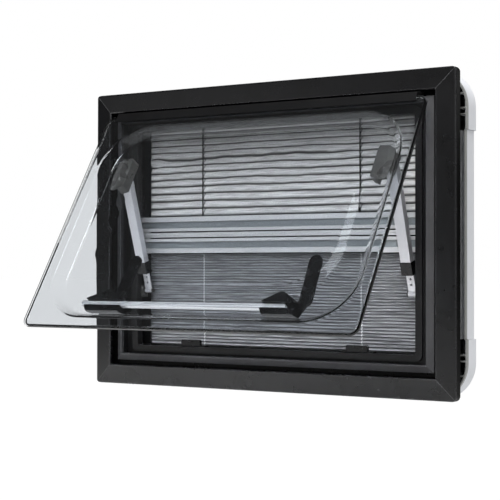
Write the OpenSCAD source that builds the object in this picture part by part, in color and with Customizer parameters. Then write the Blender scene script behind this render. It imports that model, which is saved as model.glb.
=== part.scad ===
// Top-hung push-out window for a caravan wall, drawn in millimetres.
// X runs along the wall, Z is up and the outside of the wall faces -Y.
// The origin is on the wall face of the outer flange, halfway up the land of the bottom rail.

/* [Outer frame] */
// Width of the hole in the wall
cutout_w = 700; // [650:1:760]
// Height of the hole in the wall
cutout_h = 500; // [470:1:560]
// How far the outer flange laps over the wall, all round
lap = 17; // [14:0.5:22]
// Thickness of the flange at its outer edge
flange_t = 15; // [12:0.5:18]
// How much the lip stands in front of the flange's outer edge
lip_rise = 3.8; // [2:0.1:5]
// Width of the sloping face, from the outer edge to the lip
face_w = 35.3; // [32:0.1:38]
// Radius of the frame's outer corners
corner_r = 9; // [4:0.5:14]
// Thickness of the groove floor and of the land behind it
floor_t = 3; // [2:0.5:5]

/* [Casing] */
// Thickness of the wall that the window is made for
wall_t = 34.5; // [30:0.5:40]
// Play between the casing and the hole in the wall
casing_play = 5; // [3:0.5:8]
// Thickness of the casing's walls
casing_t = 3; // [2:0.5:4]
// Width of the groove between the lip and the seal ledge
groove_w = 8.2; // [7:0.1:12]
// Width of the seal ledge
ledge_w = 12.5; // [11:0.5:14]
// Height of the seal ledge in front of the wall
ledge_rise = 4; // [3:0.5:8]
// Width of the front wall between the ledge and the jamb
shelf_w = 10; // [8:0.5:12]
// Depth of that front wall behind the flange's wall face
shelf_y = 13; // [11:0.5:15]
// Depth of the jambs behind the flange's wall face
jamb_y = 36; // [33:0.5:38]
// Height of the rubber seal on its ledge, at its inner edge
seal_rise = 7; // [5:0.5:8]
// Height of the rubber seal at its outer edge
seal_toe = 1.5; // [1:0.5:3]

/* [Opening trim] */
// How far the clear opening stays inside the side jambs
trim_side = 16; // [14:0.5:20]
// How far the clear opening stays inside the upper and lower jambs
trim_edge = 5; // [4:0.5:7]
// Width of the trim's raised rim along the sides
rim_side_w = 12; // [10:0.5:13]
// Width of the trim's raised rim along the top and bottom
rim_edge_w = 10; // [8:0.5:11]
// Corner radius of the clear opening
clear_r = 5; // [3:0.5:8]
// Outer corner radius of the rim
rim_r = 10; // [6:0.5:14]
// Depth of the trim's lip behind the shelf
trim_lip = 4; // [3:0.5:4]
// Height of the raised rim in front of the shelf
rim_rise = 9; // [7:0.5:10]

/* [Flap] */
// Distance of the hinge axis below the outer flange's top edge
hinge_inset = 43; // [42:0.1:44]
// Distance of the hinge axis in front of the wall face
hinge_out = 23; // [21:0.1:25]
// Angle at which the flap stands open
open_deg = 31.9; // [5:0.1:50]
// Gap between the shut flap and the lip on each side
pane_gap_side = 5.2; // [4:0.1:8]
// Gap between the shut flap and the lip below it
pane_gap_low = 7.45; // [5:0.05:9]
// Corner radius of the outer sheet
pane_r = 16; // [8:1:25]
// Thickness of each acrylic sheet
sheet_t = 3; // [2:0.5:4]
// Distance of the sheet's top edge below the hinge axis
pane_drop = 5.75; // [5.5:0.05:8]
// Distance of the sheet's outer face in front of the hinge axis
pane_front = 5.1; // [4.5:0.1:7]
// Width of the flat border round the bulge
border_w = 22; // [18:0.5:30]
// Corner radius of the bulge
bulge_r = 90; // [60:1:110]
// Depth of the bulge, over the border
bulge_h = 19; // [12:0.5:21]
// How far the bulge's sides lean in
bulge_lean = 18; // [10:0.5:25]

/* [Hinge] */
// Distance of the hinge rail's and its strip's ends inside the sheet's edges
hinge_end = 21; // [16:0.5:40]
// Radius of the hinge bead
bead_r = 2.8; // [2:0.1:3]
// Running clearance round the bead
bead_play = 0.3; // [0.2:0.05:0.5]
// Wall of the strip's barrel
barrel_t = 1.9; // [1.5:0.1:2.2]
// Thickness of the web that carries the bead
web_t = 2.2; // [1.6:0.1:2.6]
// Depth that the strip covers of the sheet
strip_h = 17; // [12:0.5:20]

/* [Latches] */
// Distance of each latch pivot inside the flap's side edge
latch_in = 155.5; // [130:0.5:180]
// Distance of the latch pivots above the flap's lower edge
latch_up = 62.25; // [60:0.25:66]
// Radius of the pull bar
bar_r = 5.8; // [5:0.1:6.5]
// Wall of the pull bar
bar_wall = 1.5; // [1:0.5:2.5]
// Clearance round the pull bar in its blocks
bar_play = 0.05; // [0.03:0.01:0.1]
// Distance of the pull bar's axis above the flap's lower edge
bar_up = 63.85; // [62:0.05:66]
// Distance of the pull bar's axis behind the bulge
bar_stand = 9; // [7:0.5:10]
// Slant of the pull bar's right end
bar_slant = 30; // [0:5:45]
// Reach of the left latch block past its pivot
reach_left = 60; // [52:1:66]
// Reach of the right latch block past its pivot
reach_right = 48; // [44:1:66]
// Height of a latch block's peak above the pull bar's axis
block_rise = 24; // [20:0.5:28]
// Height of a latch block off the bulge
block_h = 23; // [22:0.5:25]
// Length of a lever from its pivot to its tip
lever_l = 110; // [95:1:118]
// Width of a lever
lever_w = 22; // [16:0.5:24]
// Thickness of a lever
lever_t = 5.5; // [4:0.5:7]
// Play between the block, the tongue and the lever
lever_play = 0.5; // [0.4:0.1:0.8]
// Thickness of the tongue
tongue_t = 2.5; // [2:0.5:3.5]
// Reach of the tongue from the pivot
tongue_l = 27; // [25:0.5:28]
// Width of a catch
catch_w = 41; // [34:1:50]
// Height of a catch above the sill
catch_h = 12; // [9:0.5:12.5]

/* [Stays] */
// Distance of the stays inside the clear opening's edge
stay_gap = 14; // [13:0.5:20]
// Distance of the stay's upper pivot below the hinge axis
stay_drop = 99.7; // [90:0.1:110]
// Distance of the stay's upper pivot behind the hinge axis
stay_in = 35; // [33:0.1:38]
// Distance of the stay's lower pivot below the hinge axis
foot_drop = 321; // [314:0.5:330]
// Depth of the stay's lower pivot behind the wall face
foot_y = 23.7; // [22:0.1:25]
// Radius of the stay's pivot pins
pin_r = 2.5; // [2:0.1:3]
// Running clearance round the pivot pins
pin_play = 0.08; // [0.05:0.01:0.1]
// Width of the stay's tube
tube_w = 18; // [16:0.5:20]
// Depth of the stay's tube
tube_d = 13; // [12:0.5:14]
// Wall of the stay's tube
tube_wall = 1.3; // [1:0.1:1.6]
// Gap between the tube's end and the lower pivot, with the flap as it stands
tube_gap = 56.8; // [50:0.1:80]
// Length of the collar at the end of the tube
collar_l = 22; // [16:0.5:24]
// Width of the sliding rod
rod_w = 14; // [12:0.5:14.5]
// Thickness of the sliding rod
rod_t = 3; // [2.5:0.1:3.5]
// Length of the rod inside the tube, with the flap as it stands
rod_in = 93.2; // [70:0.1:110]
// Side gap between the rod and its foot
foot_gap = 3; // [2:0.5:4]
// Side gap between the tube and its bracket
stay_play = 0.5; // [0.4:0.1:1]

/* [Room side] */
// How far the inner frame laps over the wall beside the hole
inner_lap_side = 12.5; // [10:0.5:16]
// How far the inner frame laps over the wall above and below the hole
inner_lap_edge = 20; // [14:0.5:22]
// Depth of the inner frame
inner_d = 35; // [32:0.5:40]
// Outer corner radius of the inner frame
inner_r = 62; // [50:1:66]
// Length of each leg of a corner piece
corner_leg = 100; // [90:1:110]
// Width of the inner frame seen from the room
inner_face_w = 61; // [56:0.5:66]
// Thickness of the inner frame's walls
inner_t = 4; // [3:0.5:5]
// Thickness of the inner frame's outer skin and of its ribs
skin_t = 2.5; // [2:0.5:3]
// How much the straight profiles stay below the corner pieces
profile_step = 2.5; // [1:0.1:3]
// Top of the blind's rail above the middle of the window
rail_top = 38; // [20:0.5:60]
// Height of each cross rail
rail_h = 33; // [28:0.5:36]
// Depth of each cross rail
rail_d = 16; // [12:0.5:17]
// Thickness of each cross rail's front plate, which runs past the guides
rail_plate = 5; // [4.5:0.5:6]
// Distance of the guides' edges inside the clear opening
guide_inset = 4; // [3:0.5:8]
// How deep the cloth's edges sit in the guides
cloth_hold = 8; // [5:0.5:12]
// Depth of the folded cloth
cloth_d = 8; // [6:0.5:9]

/* [Hidden] */
$fn = 96;

// Finishes
BLACK = "#262628";
RUBBER = "#1b1b1c";
GREY = "#3c3d3f";
SILVER = "#b9babd";
PALE = "#cdcfd6";
CLOTH = "#a3a3a7";
ACRYLIC = [0.75, 0.78, 0.84, 0.35];

// Small joint between pieces that seat on each other without touching
seat = 0.3;
// Overall size of the outer flange
flange_w = cutout_w + 2 * lap;
flange_h = cutout_h + 2 * lap;
// Height of the window's middle above the origin
mid_z = flange_h / 2 - lap / 2;
// Insets from the flange's outer edge
casing_u = lap + casing_play;
ledge_u = face_w + groove_w;
shelf_u = ledge_u + ledge_w;
jamb_u = shelf_u + shelf_w;
clear_w = flange_w - 2 * (jamb_u + trim_side);
clear_h = flange_h - 2 * (jamb_u + trim_edge);
trim_back = shelf_y + trim_lip + seat;
// The hinge axis, in the frame of the window's middle
hinge_y = -hinge_out;
hinge_z = flange_h / 2 - hinge_inset;
pane_w = flange_w - 2 * (face_w + pane_gap_side);
pane_h = hinge_z - pane_drop + flange_h / 2 - face_w - pane_gap_low;
// The flap's own frame starts at the hinge axis, with the flap closed
pane_top = -pane_drop;
sheet_back = -pane_front + sheet_t;
crest_y = sheet_back + sheet_t + bulge_h;
bulge_w = pane_w - 2 * border_w;
bulge_tall = pane_h - 2 * border_w;
hinge_l = pane_w - 2 * hinge_end;
// The latches
latch_x = pane_w / 2 - latch_in;
latch_drop = pane_drop + pane_h - latch_up;
bar_drop = pane_drop + pane_h - bar_up;
bar_y = crest_y + bar_stand;
block_top = crest_y + block_h;
tongue_y = block_top + lever_play;
lever_y = tongue_y + tongue_t + lever_play;
hub_r = 9.5;
block_end = 19;
bar_start = -latch_x - reach_left - 8;
bar_end = latch_x + 6;
tongue_w = 12;
// The stays: their place, the two pivots, the line between them at rest and its lean
stay_x = clear_w / 2 - stay_gap;
stay_pin = [
    hinge_y - stay_drop * sin(open_deg) + stay_in * cos(open_deg),
    hinge_z - stay_drop * cos(open_deg) - stay_in * sin(open_deg)
];
foot_pin = [foot_y, hinge_z - foot_drop];
stay_span = norm(stay_pin - foot_pin);
stay_lean = atan2(foot_pin[0] - stay_pin[0], stay_pin[1] - foot_pin[1]);
tube_l = stay_span - tube_gap;
rod_l = tube_gap + rod_in;
tube_front = -10;
// The room side
inner_y0 = wall_t;
inner_y1 = wall_t + inner_d;
face_y = inner_y1 - inner_t;
skirt_w = inner_lap_side + casing_play - 2;
inner_w = cutout_w + 2 * inner_lap_side;
inner_h = cutout_h + 2 * inner_lap_edge;
rail_y = jamb_y - 1;
rail_l = flange_w - 2 * jamb_u - 2.4;
rail_recess = 4;
guide_x = clear_w / 2 - guide_inset;
guide_y = rail_y + rail_plate + seat;
guide_t = 1.5;
cloth_w = 2 * (guide_x + cloth_hold);
cloth_y = guide_y + guide_t + seat;
cassette_end = flange_h / 2 - casing_u - casing_t - 3;
cassette_z = clear_h / 2 + 7;
screen_bottom = -clear_h / 2 + 1;
screen_top = rail_top - 2 * rail_h - seat;

// Places children in the frame of the window's middle
module middle() {
    translate([0, 0, mid_z]) children();
}

// Turns children drawn on the closed flap, about the hinge axis, to the open flap
module on_flap() {
    middle() translate([0, hinge_y, hinge_z]) rotate([-open_deg, 0, 0]) children();
}

// Stands a flat outline, drawn across and up, upright between two depths
module upright(y0, y1) {
    translate([0, y1, 0]) rotate([90, 0, 0]) linear_extrude(y1 - y0) children();
}

// Runs a section, drawn in depth and height, along X about the middle
module along_x(length) {
    rotate([90, 0, 90]) linear_extrude(length, center = true) children();
}

// A rectangle with round corners, about the middle
module round_rect(w, h, r) {
    union() {
        square([w - 2 * r, h], center = true);
        square([w, h - 2 * r], center = true);
        for (x = [-1, 1], y = [-1, 1]) translate([x * (w / 2 - r), y * (h / 2 - r)]) circle(r);
    }
}

// A straight arm with round ends, between two points
module arm(p, q, w) {
    run = q - p;
    translate(p) rotate(atan2(run[1], run[0])) union() {
        translate([0, -w / 2]) square([norm(run), w]);
        circle(w / 2);
        translate([norm(run), 0]) circle(w / 2);
    }
}

// One mitred rail along the bottom: a section of insets and depths, run along X
module bottom_rail(section, w, h) {
    reach = jamb_u + 4;
    intersection() {
        translate([0, 0, -h / 2]) rotate([90, 0, 90]) linear_extrude(w + 2, center = true)
            polygon([for (p = section) [p[1], p[0]]]);
        upright(-2 * hinge_out, 2 * wall_t + inner_d) polygon([
            [-w / 2, -h / 2], [w / 2, -h / 2],
            [w / 2 - reach, -h / 2 + reach], [-w / 2 + reach, -h / 2 + reach]
        ]);
    }
}

// The same rail on any side: 0 bottom, 1 right, 2 top, 3 left
module rail_on(side, section, w, h) {
    upright_side = side % 2 == 1;
    rotate([0, -90 * side, 0])
        bottom_rail(section, upright_side ? h : w, upright_side ? w : h);
}

// Outer flange with its rounded edge, sloping face, lip and groove floor
edge_r = 3;
face_section = [
    [0, 0], [0, -flange_t + edge_r], [edge_r * 0.3, -flange_t + edge_r * 0.3], [edge_r, -flange_t],
    [face_w - 1.5, -flange_t - lip_rise], [face_w, -flange_t - lip_rise + 1],
    [face_w, -floor_t], [ledge_u, -floor_t], [ledge_u, -seat], [casing_u - seat, -seat],
    [casing_u - seat, 0]
];
module face_rail(side) {
    color(BLACK) middle() intersection() {
        rail_on(side, face_section, flange_w, flange_h);
        upright(-2 * hinge_out, 1) round_rect(flange_w, flange_h, corner_r);
    }
}

// Casing through the wall: outer wall, seal ledge, shelf and jamb
casing_section = [
    [casing_u, 0], [ledge_u, 0], [ledge_u, -ledge_rise], [shelf_u, -ledge_rise],
    [shelf_u, shelf_y], [jamb_u, shelf_y], [jamb_u, jamb_y], [jamb_u - casing_t, jamb_y],
    [jamb_u - casing_t, shelf_y + casing_t], [shelf_u - casing_t, shelf_y + casing_t],
    [shelf_u - casing_t, casing_t], [casing_u + casing_t, casing_t],
    [casing_u + casing_t, face_y - seat], [casing_u, face_y - seat]
];
module casing_rail(side) {
    color(BLACK) middle() rail_on(side, casing_section, flange_w, flange_h);
}

// Rubber seal with a sloping face, all round on the ledge
module weather_seal() {
    out_u = ledge_u + seat;
    in_u = shelf_u - seat;
    section = [
        [out_u, -ledge_rise], [out_u, -ledge_rise - seal_toe], [in_u - 1, -ledge_rise - seal_rise],
        [in_u, -ledge_rise - seal_rise + 0.5], [in_u, -ledge_rise]
    ];
    color(RUBBER) middle() union() {
        for (side = [0:3]) rail_on(side, section, flange_w, flange_h);
    }
}

// Rim round the clear opening, with its foot on the shelf and a lip behind
module opening_trim() {
    foot_w = flange_w - 2 * (shelf_u + seat);
    foot_h = flange_h - 2 * (shelf_u + seat);
    foot_t = 3;
    lip_w = 2.5;
    color(BLACK) middle() difference() {
        union() {
            upright(shelf_y - foot_t, shelf_y) round_rect(foot_w, foot_h, foot_t);
            upright(shelf_y - rim_rise, shelf_y)
                round_rect(clear_w + 2 * rim_side_w, clear_h + 2 * rim_edge_w, rim_r);
            upright(shelf_y - 1, shelf_y + trim_lip)
                round_rect(clear_w + 2 * lip_w, clear_h + 2 * lip_w, clear_r + lip_w);
        }
        upright(shelf_y - rim_rise - 1, shelf_y + trim_lip + 1) round_rect(clear_w, clear_h, clear_r);
    }
}

// Fixed half of the hinge: a bead on a cranked web that seats in the groove of the frame
module hinge_rail() {
    floor_y = hinge_out - floor_t - seat;
    foot_t = 3;
    groove_low = flange_h / 2 - ledge_u - hinge_z + 0.5;
    groove_high = flange_h / 2 - face_w - hinge_z - 0.5;
    web_low = bead_r + 0.4;
    web_high = web_low + web_t;
    half = web_t / 2 / sqrt(2);
    color(BLACK) middle() translate([0, hinge_y, hinge_z]) union() {
        along_x(hinge_l) circle(bead_r);
        along_x(hinge_l) polygon([
            [-half, half], [half, -half], [web_low + 2 * half, web_low],
            [floor_y - foot_t, web_low], [floor_y - foot_t, groove_low], [floor_y, groove_low],
            [floor_y, groove_high], [floor_y - foot_t, groove_high],
            [floor_y - foot_t, web_high], [web_high - 2 * half, web_high]
        ]);
    }
}

// Catch on the sill, which the latch tongue passes behind
module latch_catch(side) {
    sill = -clear_h / 2 + seat;
    jamb = -flange_h / 2 + jamb_u + seat;
    wall_y = shelf_y - 0.5;
    wall = 6.5;
    base_t = 2;
    base_d = 13.5;
    base_w = catch_w + 20;
    notch_w = catch_w / 3;
    notch_d = 3;
    color(BLACK) middle() translate([side * latch_x, 0, 0]) difference() {
        union() {
            translate([-base_w / 2, wall_y, sill]) cube([base_w, base_d, base_t]);
            translate([-base_w / 2, trim_back, jamb])
                cube([base_w, wall_y + base_d - trim_back, sill - jamb + base_t]);
            upright(wall_y, wall_y + wall) polygon([
                [-catch_w / 2, sill], [catch_w / 2, sill], [catch_w / 2, sill + catch_h - 2],
                [catch_w / 2 - 2, sill + catch_h], [2 - catch_w / 2, sill + catch_h],
                [-catch_w / 2, sill + catch_h - 2]
            ]);
        }
        translate([-notch_w / 2, wall_y - 1, sill + catch_h - notch_d])
            cube([notch_w, notch_d, 2 * notch_d]);
    }
}

// Foot of a stay, screwed to the jamb, with the headed pin for the rod
module stay_foot(side) {
    jamb_x = flange_w / 2 - jamb_u - seat;
    block_x = stay_x + rod_w / 2 + foot_gap;
    head_x = stay_x - rod_w / 2 - 0.5;
    head_t = 2;
    head_r = 4.5;
    block_h = 24;
    block_back = foot_pin[0] + 8.5;
    color(GREY) middle() mirror([side < 0 ? 1 : 0, 0, 0]) union() {
        translate([block_x, trim_back, foot_pin[1] - block_h / 2])
            cube([jamb_x - block_x, block_back - trim_back, block_h]);
        translate([head_x - 1, foot_pin[0], foot_pin[1]]) rotate([0, 90, 0])
            cylinder(r = pin_r, h = block_x - head_x + head_t + 1);
        translate([head_x - head_t, foot_pin[0], foot_pin[1]]) rotate([0, 90, 0])
            cylinder(r = head_r, h = head_t);
    }
}

// Ring of the inner frame seen from the room: rounded outline less the inner one
module inner_ring(inset, width) {
    difference() {
        round_rect(inner_w - 2 * inset, inner_h - 2 * inset, inner_r - inset);
        round_rect(inner_w - 2 * width, inner_h - 2 * width, max(4, inner_r - width));
    }
}

// Corner piece of the inner frame, a thin shell open to the wall, with three ribs on each leg
rib_places = [42, 66, 76];
module inner_corner(sx, sz) {
    cx = inner_w / 2;
    cz = inner_h / 2;
    rib_in = 15.5;
    color(PALE) middle() mirror([sx < 0 ? 1 : 0, 0, 0]) mirror([0, 0, sz < 0 ? 1 : 0]) intersection() {
        union() {
            upright(inner_y0, inner_y1) inner_ring(0, skin_t);
            upright(face_y, inner_y1) inner_ring(0, inner_face_w);
            intersection() {
                upright(inner_y0, face_y + 1) round_rect(inner_w - 1, inner_h - 1, inner_r - 0.5);
                union() {
                    for (d = rib_places) {
                        translate([cx - rib_in, inner_y0, cz - d])
                            cube([rib_in, face_y - inner_y0 + 1, skin_t]);
                        translate([cx - d, inner_y0, cz - rib_in])
                            cube([skin_t, face_y - inner_y0 + 1, rib_in]);
                    }
                }
            }
        }
        translate([cx - corner_leg, inner_y0 - 1, cz - corner_leg])
            cube([corner_leg + 1, inner_d + 2, corner_leg + 1]);
    }
}

// Straight profile of the inner frame, a channel open to the wall
module inner_profile(side) {
    long = side % 2 == 0 ? inner_w : inner_h;
    across = side % 2 == 0 ? inner_h : inner_w;
    length = long - 2 * (corner_leg + seat);
    y1 = inner_y1 - profile_step;
    inner_lip = inner_y0 + 8;
    section = [
        [inner_y0, profile_step], [y1, profile_step], [y1, inner_face_w],
        [face_y, inner_face_w], [face_y, skirt_w], [inner_lip, skirt_w],
        [inner_lip, skirt_w - skin_t], [face_y, skirt_w - skin_t],
        [face_y, profile_step + skin_t], [inner_y0, profile_step + skin_t]
    ];
    color(PALE) middle() rotate([0, -90 * side, 0]) translate([0, 0, -across / 2])
        along_x(length) polygon(section);
}

// Housing over the blind, and the one under the screen
module cassette(z0, z1) {
    color(BLACK) middle() translate([-rail_l / 2, jamb_y + seat, z0])
        cube([rail_l, face_y - jamb_y - 2 * seat, z1 - z0]);
}

// Side guide: a channel that holds the cloth's edge, set behind the ends of the cross rails
module guide(side) {
    outer = flange_w / 2 - casing_u - casing_t - seat;
    step_x = flange_w / 2 - jamb_u;
    front = guide_y + guide_t;
    back = rail_y + rail_d + 2;
    top = cassette_z - seat;
    bottom = screen_bottom + seat;
    color(BLACK) middle() mirror([side < 0 ? 1 : 0, 0, 0])
        translate([0, 0, bottom]) linear_extrude(top - bottom) polygon([
            [step_x, jamb_y + seat], [outer, jamb_y + seat], [outer, face_y - seat],
            [step_x, face_y - seat], [step_x, back + 2 * guide_t], [guide_x, back + 2 * guide_t],
            [guide_x, back], [step_x, back], [step_x, front], [guide_x, front], [guide_x, guide_y],
            [step_x, guide_y]
        ]);
}

// Folded cloth between two heights
module cloth(z0, z1) {
    color(CLOTH) middle() translate([-cloth_w / 2, cloth_y, z0 + seat])
        cube([cloth_w, cloth_d, z1 - z0 - 2 * seat]);
}

// Cross rail with its recessed front, from its outer edge towards the other rail
module cross_rail(z0, flip) {
    groove = rail_recess / 2;
    front = [
        [0, 0], [0, rail_h * 0.26], [rail_recess, rail_h * 0.28], [rail_recess, rail_h * 0.62],
        [0, rail_h * 0.64], [0, rail_h * 0.8], [groove, rail_h * 0.82], [groove, rail_h * 0.86],
        [0, rail_h * 0.88], [0, rail_h], [rail_plate, rail_h], [rail_plate, 0]
    ];
    color(SILVER) middle() translate([0, rail_y, z0]) mirror([0, 0, flip]) union() {
        along_x(rail_l) polygon(front);
        along_x(2 * guide_x - 2) translate([rail_plate - 0.5, 0])
            square([rail_d - rail_plate + 0.5, rail_h]);
    }
}

// Flat outer sheet of the flap
module pane_outer_sheet() {
    color(ACRYLIC) on_flap() translate([0, 0, pane_top - pane_h / 2])
        upright(-pane_front, sheet_back) round_rect(pane_w, pane_h, pane_r);
}

// One frustum of the bulge, drawn a given distance inside its outer skin
module bulge(skin, y0, y1) {
    thin = 0.1;
    hull() {
        upright(y0, y0 + thin) round_rect(bulge_w - 2 * skin, bulge_tall - 2 * skin, bulge_r - skin);
        upright(y1 - thin, y1) round_rect(
            bulge_w - 2 * (bulge_lean + skin), bulge_tall - 2 * (bulge_lean + skin),
            bulge_r - bulge_lean - skin);
    }
}

// Inner sheet: a flat border round a bulge that faces the room
module pane_inner_sheet() {
    back = sheet_back + sheet_t;
    color(ACRYLIC) on_flap() translate([0, 0, pane_top - pane_h / 2]) difference() {
        union() {
            upright(sheet_back, back) round_rect(pane_w - 4, pane_h - 4, pane_r - 2);
            bulge(0, sheet_back, crest_y);
        }
        bulge(sheet_t, sheet_back - 0.2, crest_y - sheet_t);
    }
}

// Moving half of the hinge: a split barrel and two leaves that hold the sheet's edge
module pane_hinge_strip() {
    bore = bead_r + bead_play;
    color(BLACK) on_flap() along_x(hinge_l) difference() {
        union() {
            circle(bore + barrel_t);
            translate([-pane_front - 1.5, -strip_h]) square([1.5, strip_h + 1]);
            translate([-pane_front - 1.5, -pane_drop + seat]) square([pane_front + 1.5, pane_drop - seat]);
        }
        circle(bore);
        polygon([for (a = [0, 18, 70, 122]) a == 0 ? [0, 0] : 14 * [cos(a), sin(a)]]);
    }
}

// Tube that links the two latch blocks
module pull_bar() {
    length = bar_end - bar_start;
    color(SILVER) on_flap() translate([bar_start, bar_y, -bar_drop]) rotate([0, 90, 0]) difference() {
        cylinder(r = bar_r, h = length);
        translate([0, 0, -1]) cylinder(r = bar_r - bar_wall, h = length + 2);
        translate([bar_r, -2 * bar_r, length - 2 * bar_r * sin(bar_slant)]) rotate([0, -bar_slant, 0])
            translate([-4 * bar_r, 0, 0]) cube([6 * bar_r, 4 * bar_r, 4 * bar_r]);
    }
}

// Latch block on the bulge, with the slot that holds the pull bar against the sheet
module latch_block(side) {
    reach = side < 0 ? reach_left : reach_right;
    low = -17;
    slot = bar_r + bar_play;
    color(BLACK) on_flap() translate([side * latch_x, 0, -bar_drop]) difference() {
        upright(crest_y, block_top) union() {
            polygon([
                [8 - reach, low], [block_end - 2, low], [block_end, 6], [-10, block_rise],
                [-17, block_rise], [2 - reach, 7], [-reach, 2], [-reach, -5]
            ]);
            translate([0, bar_drop - latch_drop]) circle(hub_r);
        }
        translate([-reach - 1, bar_y, 0]) rotate([0, 90, 0]) cylinder(r = slot, h = reach + 40);
        translate([-reach - 1, crest_y - 1, -slot]) cube([reach + 40, bar_y - crest_y + 1, 2 * slot]);
    }
}

// Lever with its hub and tongue, turned on an axis square to the flap
module latch_lever(side) {
    elbow = [14, 27];
    tip = [9.5, lever_l - lever_w / 2];
    color(BLACK) on_flap() mirror([side < 0 ? 1 : 0, 0, 0]) translate([latch_x, 0, -latch_drop]) union() {
        upright(lever_y, lever_y + lever_t) union() {
            arm([0, 0], elbow, lever_w - 4);
            arm(elbow, tip, lever_w);
        }
        upright(tongue_y, lever_y) circle(hub_r - 1);
        upright(tongue_y, tongue_y + tongue_t) arm([0, 0], [tongue_w / 2 - tongue_l, 0], tongue_w);
    }
}

// Hood on the bulge that carries the stay's upper pin, with a sloped cheek and an ear beyond the tube
module stay_bracket(side) {
    ear_x = stay_x + tube_w / 2 + stay_play;
    block_x = stay_x - tube_w / 2 - stay_play;
    block_w = 12;
    ridge_x = stay_x - 1;
    cheek_y = crest_y + 2;
    wall = 1.5;
    back = stay_in + pin_r + 1.5;
    outer_x = ear_x + wall;
    inner_x = block_x - block_w;
    knob_r = 6;
    knob_t = 1.8;
    hood_up = 14.5;
    hood_low = -53.5;
    hood_l = hood_up - hood_low + 2;
    color(GREY) on_flap() mirror([side < 0 ? 1 : 0, 0, 0]) translate([0, 0, -stay_drop]) union() {
        difference() {
            intersection() {
                translate([0, 0, hood_low - 1]) linear_extrude(hood_l) polygon([
                    [inner_x, crest_y], [ridge_x, crest_y], [outer_x, cheek_y], [outer_x, back],
                    [inner_x, back]
                ]);
                upright(crest_y - 1, back + 1) polygon([
                    [inner_x, hood_up - 5], [inner_x + 2, hood_up], [ridge_x, hood_up - 1],
                    [outer_x, hood_up - 8.5], [outer_x, -25], [outer_x - 4, hood_low + 2.5],
                    [ridge_x - 2, hood_low], [inner_x, hood_low + 8.5]
                ]);
            }
            translate([0, 0, hood_low - 2]) linear_extrude(hood_l + 2) polygon([
                [block_x, crest_y + wall], [ridge_x, crest_y + wall], [ear_x, cheek_y + wall],
                [ear_x, back + 1], [block_x, back + 1]
            ]);
        }
        translate([block_x - 2, stay_in, 0]) rotate([0, 90, 0])
            cylinder(r = pin_r, h = ear_x - block_x + 3);
        translate([ear_x + wall / 2, stay_in, 0]) rotate([0, 90, 0]) cylinder(r = knob_r, h = knob_t);
    }
}

// Places children on the line of a stay: Z runs up from the lower pin
module on_stay(side) {
    middle() mirror([side < 0 ? 1 : 0, 0, 0])
        translate([stay_x, foot_pin[0], foot_pin[1]]) rotate([stay_lean, 0, 0]) children();
}

// Channel of the stay, hung from the upper pin and open towards the room
module stay_tube(side) {
    head = 5;
    color(SILVER) on_stay(side) translate([0, 0, stay_span]) difference() {
        translate([-tube_w / 2, tube_front, -tube_l]) cube([tube_w, tube_d, tube_l + head]);
        translate([-tube_w / 2 + tube_wall, tube_front + tube_wall, -tube_l - 1])
            cube([tube_w - 2 * tube_wall, tube_d, tube_l + head]);
        translate([-tube_w, 0, 0]) rotate([0, 90, 0]) cylinder(r = pin_r + pin_play, h = 2 * tube_w);
    }
}

// Plastic collar that closes the end of the channel
module stay_collar(side) {
    color(RUBBER) on_stay(side) translate([0, 0, stay_span - tube_l]) difference() {
        translate([-tube_w / 2 - 1, tube_front - 1, -collar_l]) cube([tube_w + 2, tube_d + 3, collar_l]);
        translate([-tube_w / 2 + tube_wall, tube_front + tube_wall, -collar_l - 1])
            cube([tube_w - 2 * tube_wall, 11.5, collar_l + 2]);
    }
}

// Perforated rod that slides in the channel
module stay_rod(side) {
    eye_r = 5;
    hole_r = 2;
    hole_step = 10;
    color(SILVER) on_stay(side) difference() {
        union() {
            translate([-rod_w / 2, -rod_t / 2, 0]) cube([rod_w, rod_t, rod_l]);
            rotate([0, 90, 0]) cylinder(r = eye_r, h = rod_w, center = true);
        }
        rotate([0, 90, 0]) cylinder(r = pin_r + pin_play, h = rod_w + 2, center = true);
        for (z = [16:hole_step:rod_l - hole_step]) translate([0, 0, z]) rotate([90, 0, 0])
            cylinder(r = hole_r, h = rod_t + 2, center = true);
    }
}

face_rail(0);  // face_bottom
face_rail(1);  // face_right
face_rail(2);  // face_top
face_rail(3);  // face_left
casing_rail(0);  // casing_bottom
casing_rail(1);  // casing_right
casing_rail(2);  // casing_top
casing_rail(3);  // casing_left
weather_seal();
opening_trim();
hinge_rail();
latch_catch(-1);  // catch_left
latch_catch(1);  // catch_right
stay_foot(-1);  // stay_foot_left
stay_foot(1);  // stay_foot_right
inner_corner(-1, 1);  // inner_corner_top_left
inner_corner(1, 1);  // inner_corner_top_right
inner_corner(-1, -1);  // inner_corner_bottom_left
inner_corner(1, -1);  // inner_corner_bottom_right
inner_profile(0);  // inner_profile_bottom
inner_profile(1);  // inner_profile_right
inner_profile(2);  // inner_profile_top
inner_profile(3);  // inner_profile_left
cassette(cassette_z, cassette_end);  // blind_cassette
cassette(-cassette_end, screen_bottom);  // screen_cassette
guide(-1);  // guide_left
guide(1);  // guide_right
cloth(rail_top, cassette_z);  // pleated_blind
cloth(screen_bottom, screen_top);  // fly_screen
cross_rail(rail_top, 1);  // blind_rail
cross_rail(screen_top, 0);  // screen_rail
pane_outer_sheet();
pane_inner_sheet();
pane_hinge_strip();
pull_bar();
latch_block(-1);  // latch_block_left
latch_block(1);  // latch_block_right
stay_bracket(-1);  // stay_bracket_left
stay_bracket(1);  // stay_bracket_right
latch_lever(-1);  // latch_lever_left
latch_lever(1);  // latch_lever_right
stay_tube(-1);  // stay_tube_left
stay_tube(1);  // stay_tube_right
stay_collar(-1);  // stay_collar_left
stay_collar(1);  // stay_collar_right
stay_rod(-1);  // stay_rod_left
stay_rod(1);  // stay_rod_right
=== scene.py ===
"""Caravan window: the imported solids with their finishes, and its soft and thermoformed pieces."""

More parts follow.
